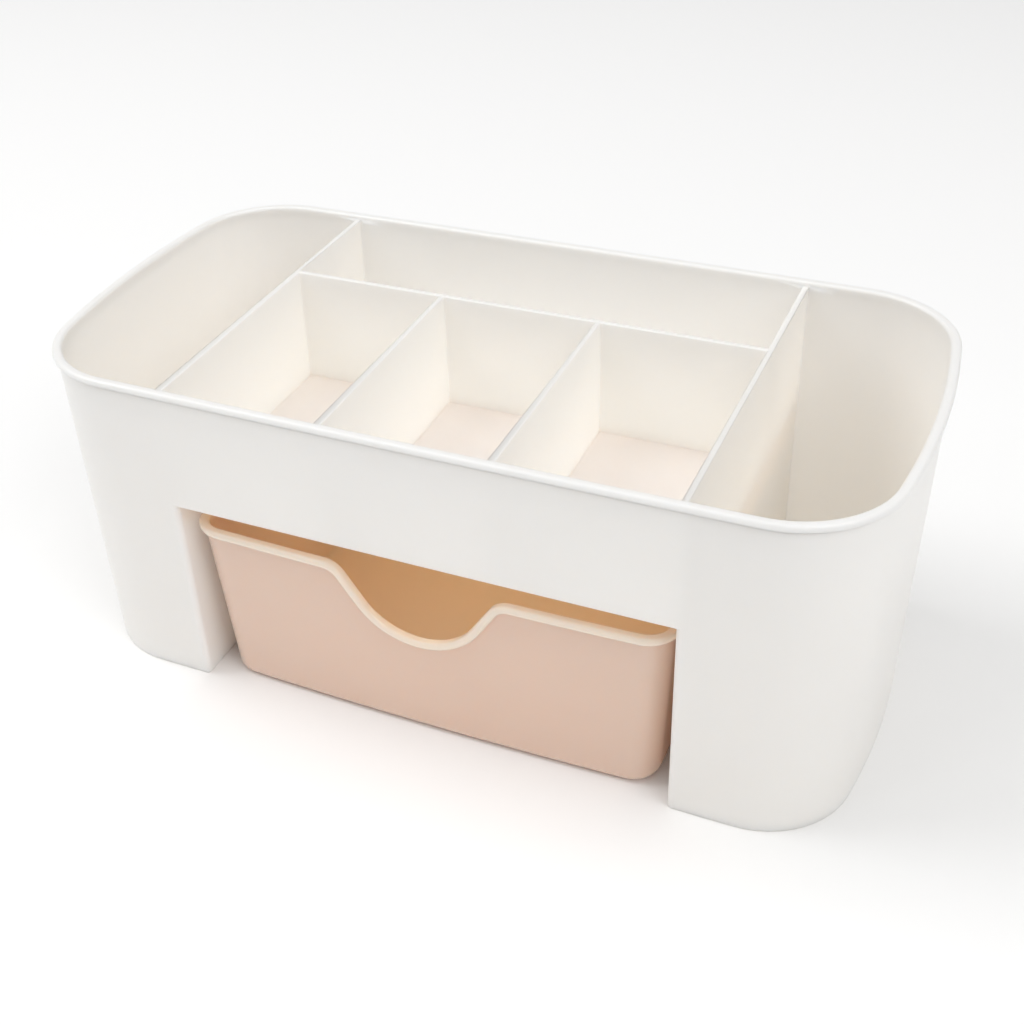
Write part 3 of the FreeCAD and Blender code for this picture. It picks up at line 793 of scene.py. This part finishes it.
@dataclass(frozen=True)
class MouldedSkin:
    """The skin that all finishes share: flow clouds, a painted highlight where a mask marks the mesh, rubbed
    gloss and a fine orange peel.

    Scales count per metre; that of the clouds works on top of the flow's own scale along each axis.
    """

    flow_scale: Spot = (14.0, 14.0, 30.0)
    cloud_scale: float = 1.0
    cloud_detail: float = 3.0
    cloud_roughness: float = 0.45
    cloud_range: Flat = (0.35, 0.75)
    rub_scale: float = 160.0
    rub_detail: float = 2.0
    rub_range: float = 0.12
    peel_scale: float = 900.0
    peel_detail: float = 1.5

    def noise(
        self, tree: bpy.types.NodeTree, place: bpy.types.NodeSocket, scale: float, detail: float
    ) -> bpy.types.Node:
        """Adds a noise pattern to the group.

        Args:
            tree: The group.
            place: The socket that gives the pattern its place.
            scale: The pattern's scale.
            detail: How many finer layers it has.

        Returns:
            The new node.
        """
        made = tree.nodes.new("ShaderNodeTexNoise")
        made.inputs["Scale"].default_value = scale
        made.inputs["Detail"].default_value = detail
        tree.links.new(place, made.inputs["Vector"])
        return made

    def colour_part(
        self, tree: bpy.types.NodeTree, start: bpy.types.Node, place: bpy.types.NodeSocket
    ) -> bpy.types.NodeSocket:
        """Adds the colour: faint clouds, and a painted highlight, a lighter colour where the bead's mask
        attribute marks the mesh.

        Args:
            tree: The group.
            start: Its input node.
            place: The socket that gives patterns their place.

        Returns:
            The socket with the colour.
        """
        nodes, links = tree.nodes, tree.links
        flow = nodes.new("ShaderNodeMapping")
        flow.inputs["Scale"].default_value = self.flow_scale
        links.new(place, flow.inputs["Vector"])
        clouds = self.noise(tree, flow.outputs["Vector"], self.cloud_scale, self.cloud_detail)
        clouds.inputs["Roughness"].default_value = self.cloud_roughness
        share = nodes.new("ShaderNodeMapRange")
        share.inputs["From Min"].default_value, share.inputs["From Max"].default_value = self.cloud_range
        links.new(clouds.outputs["Fac"], share.inputs["Value"])
        mix = nodes.new("ShaderNodeMix")
        mix.data_type = "RGBA"
        links.new(share.outputs["Result"], mix.inputs["Factor"])
        links.new(start.outputs["Colour"], mix.inputs["A"])
        links.new(start.outputs["Cloud"], mix.inputs["B"])
        # painted highlight: the bead's mask mixes in a lighter colour
        painted_highlight = nodes.new("ShaderNodeAttribute")
        painted_highlight.attribute_name = PAINTED_HIGHLIGHT_MASK
        highlight_mix = nodes.new("ShaderNodeMix")
        highlight_mix.data_type = "RGBA"
        links.new(painted_highlight.outputs["Fac"], highlight_mix.inputs["Factor"])
        links.new(mix.outputs["Result"], highlight_mix.inputs["A"])
        links.new(start.outputs["Painted Highlight"], highlight_mix.inputs["B"])
        return highlight_mix.outputs["Result"]

    def gloss_part(
        self, tree: bpy.types.NodeTree, start: bpy.types.Node, place: bpy.types.NodeSocket
    ) -> bpy.types.NodeSocket:
        """Adds the roughness, which varies evenly about its given value.

        Args:
            tree: The group.
            start: Its input node.
            place: The socket that gives patterns their place.

        Returns:
            The socket with the roughness.
        """
        nodes, links = tree.nodes, tree.links
        rub = self.noise(tree, place, self.rub_scale, self.rub_detail)
        vary = nodes.new("ShaderNodeMath")
        vary.operation = "MULTIPLY_ADD"
        vary.inputs[1].default_value = self.rub_range
        links.new(rub.outputs["Fac"], vary.inputs[0])
        links.new(start.outputs["Roughness"], vary.inputs[2])
        lower = nodes.new("ShaderNodeMath")
        lower.operation = "SUBTRACT"
        lower.inputs[1].default_value = self.rub_range / 2
        links.new(vary.outputs["Value"], lower.inputs[0])
        return lower.outputs["Value"]

    def group(self) -> bpy.types.NodeTree:
        """Makes the shared node group the first time it is asked for.

        Returns:
            The group "moulded_skin".
        """
        known = bpy.data.node_groups.get("moulded_skin")
        if known:
            return known
        tree = bpy.data.node_groups.new("moulded_skin", "ShaderNodeTree")
        for title, way, kind in (
            ("Colour", "INPUT", "NodeSocketColor"),
            ("Cloud", "INPUT", "NodeSocketColor"),
            # colour of the painted highlight
            ("Painted Highlight", "INPUT", "NodeSocketColor"),
            ("Roughness", "INPUT", "NodeSocketFloat"),
            ("Colour", "OUTPUT", "NodeSocketColor"),
            ("Roughness", "OUTPUT", "NodeSocketFloat"),
            ("Height", "OUTPUT", "NodeSocketFloat"),
        ):
            tree.interface.new_socket(title, in_out=way, socket_type=kind)
        start, end = tree.nodes.new("NodeGroupInput"), tree.nodes.new("NodeGroupOutput")
        place = tree.nodes.new("ShaderNodeTexCoord").outputs["Object"]
        peel = self.noise(tree, place, self.peel_scale, self.peel_detail)
        tree.links.new(self.colour_part(tree, start, place), end.inputs["Colour"])
        tree.links.new(self.gloss_part(tree, start, place), end.inputs["Roughness"])
        tree.links.new(peel.outputs["Fac"], end.inputs["Height"])
        return tree


@dataclass(frozen=True)
class MouldedPlastic:
    """A finish of satin moulded plastic. Glow is light that passes through it, to a depth in millimetres.

    A painted highlight: a lighter colour takes the place of the others where a piece's highlight mask
    attribute is 1.
    """

    name: str
    colour: Colour
    cloud: Colour
    # colour of the painted highlight
    painted_highlight: Colour
    roughness: float
    glow: float
    glow_depth: Spot
    refraction: float = 1.49
    gloss_level: float = 0.65
    peel_strength: float = 0.12
    peel_height: float = 0.00004
    skin: MouldedSkin = MouldedSkin()

    def build(self) -> bpy.types.Material:
        """Makes the finish.

        Returns:
            The new material.
        """
        made = bpy.data.materials.new(self.name)
        made.use_nodes = True
        made.diffuse_color = (*self.colour, 1)
        nodes, links = made.node_tree.nodes, made.node_tree.links
        shader = nodes["Principled BSDF"]
        skin = nodes.new("ShaderNodeGroup")
        skin.node_tree = self.skin.group()
        skin.inputs["Colour"].default_value = (*self.colour, 1)
        skin.inputs["Cloud"].default_value = (*self.cloud, 1)
        skin.inputs["Painted Highlight"].default_value = (*self.painted_highlight, 1)
        skin.inputs["Roughness"].default_value = self.roughness
        links.new(skin.outputs["Colour"], shader.inputs["Base Color"])
        links.new(skin.outputs["Roughness"], shader.inputs["Roughness"])
        bump = nodes.new("ShaderNodeBump")
        bump.inputs["Strength"].default_value = self.peel_strength
        bump.inputs["Distance"].default_value = self.peel_height
        links.new(skin.outputs["Height"], bump.inputs["Height"])
        links.new(bump.outputs["Normal"], shader.inputs["Normal"])
        shader.inputs["IOR"].default_value = self.refraction
        shader.inputs["Specular IOR Level"].default_value = self.gloss_level
        shader.inputs["Subsurface Weight"].default_value = self.glow
        shader.inputs["Subsurface Radius"].default_value = self.glow_depth
        shader.inputs["Subsurface Scale"].default_value = MM
        return made


def dress(made: bpy.types.Object, finish: bpy.types.Material) -> None:
    """Gives a piece one finish all over."""
    made.data.materials.clear()
    made.data.materials.append(finish)


@dataclass(frozen=True)
class StudioCamera:
    """The camera of the photograph, for a square picture: angles in radians, its place in millimetres."""

    picture: int = 1024
    azimuth: float = math.radians(27.195)
    elevation: float = math.radians(34.509)
    roll: float = math.radians(-3.515)
    focal_pixels: float = 1464.103
    centre_x: float = 423.234
    centre_y: float = 498.624
    place: Spot = (130.61, -297.93, 266.34)
    sensor: float = 36.0
    nearest: float = 0.01
    farthest: float = 20.0

    def build(self) -> bpy.types.Object:
        """Makes the camera and sets it as the scene's own.

        Returns:
            The new object.
        """
        data = bpy.data.cameras.new("studio_camera")
        made = bpy.data.objects.new("studio_camera", data)
        bpy.context.scene.collection.objects.link(made)
        level = math.cos(self.elevation)
        back = Vector(
            (math.sin(self.azimuth) * level, -math.cos(self.azimuth) * level, math.sin(self.elevation))
        )
        right = (-back).cross(Vector((0, 0, 1))).normalized()
        up = right.cross(-back)
        turned = right * math.cos(self.roll) + up * math.sin(self.roll)
        upright = up * math.cos(self.roll) - right * math.sin(self.roll)
        axes = Matrix((turned, upright, back)).transposed().to_4x4()
        made.matrix_world = Matrix.Translation(Vector(self.place) * MM) @ axes
        data.sensor_width = self.sensor
        data.lens = self.focal_pixels * data.sensor_width / self.picture
        data.shift_x = 0.5 - self.centre_x / self.picture
        data.shift_y = self.centre_y / self.picture - 0.5
        data.clip_start = self.nearest
        data.clip_end = self.farthest
        bpy.context.scene.camera = made
        return made


@dataclass(frozen=True)
class SoftLight:
    """One soft box: where it stands and what it points at, its width and height, in metres, and watts."""

    name: str
    place: Spot
    aim: Spot
    width: float
    height: float
    power: float
    colour: Colour = PLAIN_WHITE

    def build(self) -> bpy.types.Object:
        """Makes the light, unseen by the camera.

        Returns:
            The new object.
        """
        data = bpy.data.lights.new(self.name, "AREA")
        data.shape = "RECTANGLE"
        data.size, data.size_y = self.width, self.height
        data.energy = self.power
        data.color = self.colour
        made = bpy.data.objects.new(self.name, data)
        bpy.context.scene.collection.objects.link(made)
        made.location = self.place
        made.rotation_euler = (Vector(self.aim) - Vector(self.place)).to_track_quat("-Z", "Y").to_euler()
        made.visible_camera = False
        return made


@dataclass(frozen=True)
class Studio:
    """The plain pale floor, the soft boxes and the even light all round.

    The small warm light bay_fill, under the shelf, stands for light that the housing's walls let into
    the bay.
    """

    floor_colour: Colour = (0.97, 0.97, 0.97)
    floor_radius: float = 6.0
    floor_sides: int = 96
    floor_roughness: float = 0.9
    floor_gloss: float = 0.1
    around: Colour = (1.0, 0.995, 0.985)
    around_strength: float = 0.34
    diffuse_bounces: int = 16
    all_bounces: int = 24
    lights: tuple[SoftLight, ...] = (
        SoftLight("right_box", (1.15, -0.55, 1.4), (0, 0, 0.04), 1.1, 1.1, 10.4),
        SoftLight("left_box", (-1.15, -0.2, 1.5), (0, 0, 0.04), 1.1, 1.1, 13.4),
        SoftLight("top_box", (0.0, 0.1, 1.7), (0, 0, 0.04), 1.4, 1.4, 7.6),
        SoftLight("front_box", (-0.6, -0.95, 1.15), (0, 0, 0.04), 0.4, 0.4, 1.0),
        SoftLight("bay_fill", (0, 0.012, 0.0571), (0, 0.012, 0), 0.12, 0.066, 0.019, (1.0, 0.89, 0.52)),
    )

    def floor(self) -> bpy.types.Object:
        """Makes the floor, a wide flat disc on which the object stands.

        Returns:
            The new object.
        """
        work = bmesh.new()
        bmesh.ops.create_circle(work, cap_ends=True, segments=self.floor_sides, radius=self.floor_radius)
        mesh = bpy.data.meshes.new("studio_floor")
        work.to_mesh(mesh)
        work.free()
        made = bpy.data.objects.new("studio_floor", mesh)
        bpy.context.scene.collection.objects.link(made)
        paint = bpy.data.materials.new("pale_floor")
        paint.use_nodes = True
        shader = paint.node_tree.nodes["Principled BSDF"]
        shader.inputs["Base Color"].default_value = (*self.floor_colour, 1)
        shader.inputs["Roughness"].default_value = self.floor_roughness
        shader.inputs["Specular IOR Level"].default_value = self.floor_gloss
        mesh.materials.append(paint)
        return made

    def build(self) -> None:
        """Makes the floor, the lights and the even light, and sets how the picture is shown."""
        self.floor()
        for light in self.lights:
            light.build()
        world = bpy.data.worlds.new("studio")
        world.use_nodes = True
        sky = world.node_tree.nodes["Background"]
        sky.inputs["Color"].default_value = (*self.around, 1)
        sky.inputs["Strength"].default_value = self.around_strength
        scene = bpy.context.scene
        scene.world = world
        scene.view_settings.view_transform = "Standard"
        scene.cycles.max_bounces = self.all_bounces
        scene.cycles.diffuse_bounces = self.diffuse_bounces


WHITE = MouldedPlastic(
    name="white_satin_plastic",
    colour=(0.97, 0.944, 0.903),
    cloud=(0.955, 0.929, 0.888),
    # painted highlight colour, the same as the body's colour here, so nothing shows
    painted_highlight=(0.97, 0.944, 0.903),
    roughness=0.36,
    glow=0.75,
    glow_depth=(5.0, 4.7, 4.4),
)
PEACH = MouldedPlastic(
    name="peach_satin_plastic",
    colour=(0.77, 0.6, 0.51),
    cloud=(0.755, 0.585, 0.495),
    # painted highlight: a lighter cream on the drawer's bead
    painted_highlight=(0.9, 0.755, 0.64),
    roughness=0.24,
    glow=0.8,
    glow_depth=(5.0, 4.0, 3.2),
)


def main() -> None:
    """Loads the frame, builds and dresses both mouldings, and sets up the studio."""
    logging.basicConfig(level=logging.INFO, format="%(message)s")
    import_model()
    StudioCamera().build()
    Studio().build()
    for node, slot, sub_assembly, finish in (
        ("housing", "white_plastic", Housing(), WHITE),
        ("drawer", "peach_plastic", Drawer(), PEACH),
    ):
        made = sub_assembly.build()
        dress(made, finish.build())
        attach(made, node)
        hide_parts(node)
        log.info("%s: %d faces", made.name, len(made.data.polygons))


if __name__ == "__main__":
    main()
